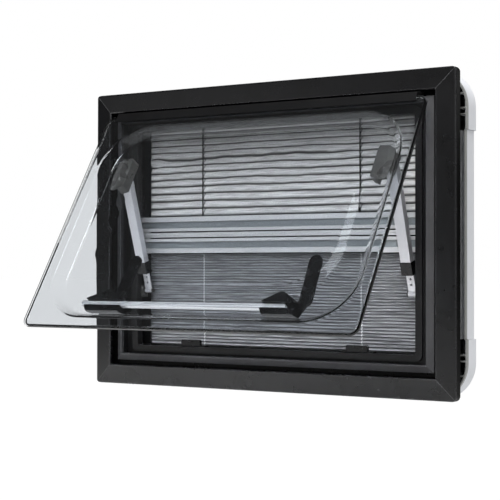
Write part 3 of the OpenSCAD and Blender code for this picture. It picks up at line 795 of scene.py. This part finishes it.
@dataclass
class Flap:
    """The acrylic leaf with its hinge strip, bar, latches and stays, in millimetres.

    The rings of the domed sheet start on its flat border, climb its wall and end past its shallow step.
    """

    finishes: Finishes
    width: float = 653.0
    height: float = 442.5
    drop: float = 5.75
    corner: float = 16.0
    border: float = 22.0
    border_rings: tuple[float, ...] = (2.0, 8.0)
    border_end: float = 4.0
    base_radius: float = 90.0
    lean: float = 18.0
    foot_in: float = 1.5
    crown_in: float = 4.0
    sheet: float = 2.6
    base_y: float = -0.45
    rise: float = 18.8
    foot: float = 0.18
    head: float = 0.4
    step_inset: float = 76.0
    step_run: float = 22.0
    step_drop: float = 1.8
    step_radius: float = 84.0
    corner_points: int = 40
    wall_rings: int = 29
    step_rings: int = 17
    crown_shares: tuple[float, ...] = (0.66, 0.33, 0.0)

    def rings(self) -> tuple[np.ndarray, np.ndarray, np.ndarray]:
        """Works out the rings of the inner sheet, from its edge to its crown.

        Past the border the rings rise. The wall's slope grows evenly over the first part of the way in,
        stays level, and falls evenly to none at the crown: the rise is the running sum of that slope,
        scaled to the bulge's depth, so the foot of the wall is a tight fillet and its head a wider one.
        Further in the crown falls again by a small stiffening step, along half a cosine wave.

        Returns:
            For each ring how far it lies in from the edge, its rise and its corner radius.
        """
        flat = np.array([*self.border_rings, self.border - self.border_end])
        flat_radii = np.array([*(self.corner - inset for inset in self.border_rings), self.base_radius])
        steps = np.linspace(0.0, 1.0, self.wall_rings)
        slope = np.interp(steps, [0.0, self.foot, 1.0 - self.head, 1.0], [0.0, 1.0, 1.0, 0.0])
        ease = np.concatenate([[0.0], np.cumsum((slope[1:] + slope[:-1]) / 2)])
        wall = self.border - self.foot_in + (self.lean + self.crown_in) * steps
        ways = np.linspace(0.0, 1.0, self.step_rings)
        fall = self.step_drop * (1.0 - np.cos(math.pi * ways)) / 2
        insets = np.concatenate([flat, wall, self.step_inset + self.step_run * ways])
        rises = np.concatenate([0.0 * flat, self.rise * (ease / ease[-1]), self.rise - fall])
        radii = np.concatenate([flat_radii, self.base_radius + self.border - wall,
                                self.step_radius + 0.0 * ways])
        return insets, rises, radii

    def build(self) -> None:
        """Forms the domed inner sheet from rings of its round-cornered outline, closed at its middle."""
        rings = []
        for inset, rise, radius in zip(*self.rings()):
            width, height = self.width - 2 * inset, self.height - 2 * inset
            flat = round_outline(width, height, radius, self.corner_points)
            behind = np.full(len(flat), self.base_y + rise)
            rings.append(np.stack([flat[:, 0], behind, flat[:, 1]], axis=-1))
        crown = rings[-1]
        centre = crown.mean(axis=0)
        rings += [centre + (crown - centre) * share for share in self.crown_shares]
        grid = np.stack(rings)
        grid[..., 2] -= self.drop + self.height / 2
        piece = surface("pane_dome", on_flap(grid), around=True, pole=True)
        thicken(piece, "sheet", self.sheet)
        ready(piece, Body.FLAP, self.finishes.acrylic)
        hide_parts("pane_inner_sheet")

    def dress(self) -> None:
        """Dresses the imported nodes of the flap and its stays."""
        f = self.finishes
        dress("pane_outer_sheet", f.acrylic)
        dress("pane_hinge_strip", f.hinge_black)
        dress("pull_bar", f.metal)
        for side in SIDES:
            dress("latch_block_" + side, f.latch_black)
            dress("latch_lever_" + side, f.latch_black)
            dress("stay_bracket_" + side, f.stay_grey)
            dress("stay_tube_" + side, f.stay_metal)
            dress("stay_collar_" + side, f.latch_black)
            dress("stay_rod_" + side, f.stay_metal)


@dataclass
class Studio:
    """The camera, the pale floor and the soft lights. Lengths are in metres, and angles in degrees."""

    place: tuple[float, float, float] = (1.3419, -2.0805, 0.1967)
    yaw: float = 33.482
    pitch: float = 0.893
    roll: float = 0.104
    focal_px: float = 1429.0
    photo_px: float = 500.0
    sensor_mm: float = 36.0
    aim: tuple[float, float, float] = (0.0, -0.05, MIDDLE_Z * MM)
    sky_soft: float = 0.38
    sky_gloss: float = 0.05
    floor_half: float = 30.0
    floor_gap: float = 0.012
    floor_shade: str = "a8a8a8"
    floor_glow: float = 0.9
    floor_far_glow: float = 0.03
    pool_from: float = 0.4
    pool_to: float = 1.3
    pool_place: tuple[float, float, float] = (-0.55, -0.1, 0.0)

    def __post_init__(self) -> None:
        """Starts the group of pieces that the reflection lamps light."""
        self.sheets = bpy.data.collections.new("clear_sheets")

    def camera(self) -> None:
        """Stands the camera where the photo was taken, from its yaw, pitch and roll."""
        yaw, pitch, roll = (math.radians(v) for v in (self.yaw, self.pitch, self.roll))
        ahead = Vector((-math.sin(yaw) * math.cos(pitch), math.cos(yaw) * math.cos(pitch),
                        math.sin(pitch)))
        level = Vector((math.cos(yaw), math.sin(yaw), 0.0))
        above = level.cross(ahead)
        right = math.cos(roll) * level + math.sin(roll) * above
        up = math.cos(roll) * above - math.sin(roll) * level
        data = bpy.data.cameras.new("camera")
        data.sensor_width = self.sensor_mm
        data.lens = self.focal_px * self.sensor_mm / self.photo_px
        data.clip_start = 0.05
        camera = bpy.data.objects.new("camera", data)
        turn = Matrix((right, up, -ahead)).transposed().to_4x4()
        camera.matrix_world = Matrix.Translation(self.place) @ turn
        bpy.context.scene.collection.objects.link(camera)
        bpy.context.scene.camera = camera

    def floor(self) -> None:
        """Lays a plain pale floor under the window, bright enough to melt into the background.

        What the camera sees of it glows white. What only lights the window is a pool of light beside the
        window, which fades with the distance from the pool's middle.
        """
        half, low = self.floor_half, CAD_BOX[0][2] - self.floor_gap
        corners = [[[x, y, low] for x in (-half, half)] for y in (-half, half)]
        floor = surface("floor", np.array(corners))
        material = bpy.data.materials.new("pale_floor")
        material.use_nodes = True
        tree = material.node_tree
        tree.nodes.clear()
        seen = self.seen(tree)
        place = node(tree, "TexCoord").outputs["Object"]
        away = node(tree, "VectorMath", {0: place, 1: self.pool_place}, operation="DISTANCE")
        pool = node(tree, "MapRange", {"Value": away.outputs["Value"], "From Min": self.pool_from,
                                       "From Max": self.pool_to, "To Min": self.floor_glow,
                                       "To Max": self.floor_far_glow})
        glow = node(tree, "MapRange", {"Value": seen, "To Min": pool.outputs["Result"], "To Max": 1.0})
        base = node(tree, "Mix", {0: seen, 6: linear(self.floor_shade), 7: linear("000000")},
                    data_type="RGBA")
        shader = node(tree, "BsdfPrincipled", {"Base Color": base.outputs[2], "Roughness": 0.9,
                                               "Emission Color": (1.0, 1.0, 1.0, 1.0),
                                               "Emission Strength": glow.outputs["Result"]})
        node(tree, "OutputMaterial", {"Surface": shader.outputs["BSDF"]})
        floor.data.materials.append(material)

    def seen(self, tree: Tree) -> Socket:
        """Tells what the camera sees, straight or through the acrylic, from what only lights the window.

        Args:
            tree: the node tree that asks.

        Returns:
            A socket that is one where the ray has met nothing but clear sheets.
        """
        path = node(tree, "LightPath")
        through = node(tree, "Math", {0: path.outputs["Is Camera Ray"],
                                      1: path.outputs["Is Transmission Ray"]}, operation="MAXIMUM")
        turns = node(tree, "Math", {0: path.outputs["Diffuse Depth"], 1: path.outputs["Glossy Depth"]},
                     operation="ADD")
        fresh = node(tree, "Math", {0: turns.outputs[0], 1: 0.5}, operation="LESS_THAN")
        both = node(tree, "Math", {0: through.outputs[0], 1: fresh.outputs[0]}, operation="MULTIPLY")
        return both.outputs[0]

    def world(self) -> None:
        """Sets a white background whose light on the window is softer than it looks."""
        world = bpy.data.worlds.new("studio")
        world.use_nodes = True
        tree = world.node_tree
        tree.nodes.clear()
        path = node(tree, "LightPath")
        lighting = node(tree, "Math", {0: path.outputs["Diffuse Depth"], 1: 0.5},
                        operation="GREATER_THAN")
        unseen = node(tree, "MapRange", {"Value": lighting.outputs[0], "To Min": self.sky_gloss,
                                         "To Max": self.sky_soft})
        strength = node(tree, "MapRange", {"Value": self.seen(tree), "To Min": unseen.outputs["Result"],
                                           "To Max": 1.0})
        light = node(tree, "Background", {"Color": (1.0, 1.0, 1.0, 1.0),
                                          "Strength": strength.outputs["Result"]})
        node(tree, "OutputWorld", {"Surface": light.outputs[0]})
        bpy.context.scene.world = world

    def lamp(self, name: str, place: tuple[float, float, float], size: float, power: float,
             sheets_only: bool = False) -> None:
        """Hangs a square soft light that faces the window's middle.

        Args:
            name: the lamp's name.
            place: where it hangs, in metres.
            size: its side, in metres.
            power: in watts.
            sheets_only: True for one that is flagged off from all but the clear sheets.
        """
        data = bpy.data.lights.new(name, "AREA")
        data.shape = "SQUARE"
        data.size = size
        data.energy = power
        lamp = bpy.data.objects.new(name, data)
        facing = (Vector(self.aim) - Vector(place)).to_track_quat("-Z", "Y")
        lamp.matrix_world = Matrix.Translation(place) @ facing.to_matrix().to_4x4()
        if sheets_only:
            lamp.light_linking.receiver_collection = self.sheets
        bpy.context.scene.collection.objects.link(lamp)

    def build(self) -> None:
        """Sets up the camera, floor, background and lights."""
        self.camera()
        self.floor()
        self.world()
        self.lamp("key_light", (0.75, -2.1, 1.9), 0.8, 72.0)
        self.lamp("top_light", (0.5, -1.6, 2.4), 0.5, 24.0)
        self.lamp("side_light", (-2.3, 0.05, 1.5), 0.9, 7.0, sheets_only=True)
        self.lamp("band_light", (-0.62, -1.36, 2.33), 0.5, 1.9, sheets_only=True)
        self.lamp("fill_light", (-1.9, -2.6, 1.0), 1.2, 3.4)
        self.lamp("back_light", (1.6, 1.5, 1.2), 1.2, 7.0)
        view = bpy.context.scene.view_settings
        view.view_transform = "Standard"
        view.look = "None"

    def light_sheets(self) -> None:
        """Puts the two clear sheets in the group that the reflection lamps light."""
        for name in ("pane_outer_sheet", "pane_dome"):
            self.sheets.objects.link(bpy.data.objects[name])


def main() -> None:
    """Builds the window's pieces in order."""
    logging.basicConfig(level=logging.INFO, format="%(name)s: %(message)s")
    studio = Studio()
    studio.build()
    finishes = Finishes()
    OuterFrame(finishes).dress()
    room = RoomSide(finishes)
    room.dress()
    room.build()
    flap = Flap(finishes)
    flap.dress()
    flap.build()
    studio.light_sheets()


if __name__ == "__main__":
    main()
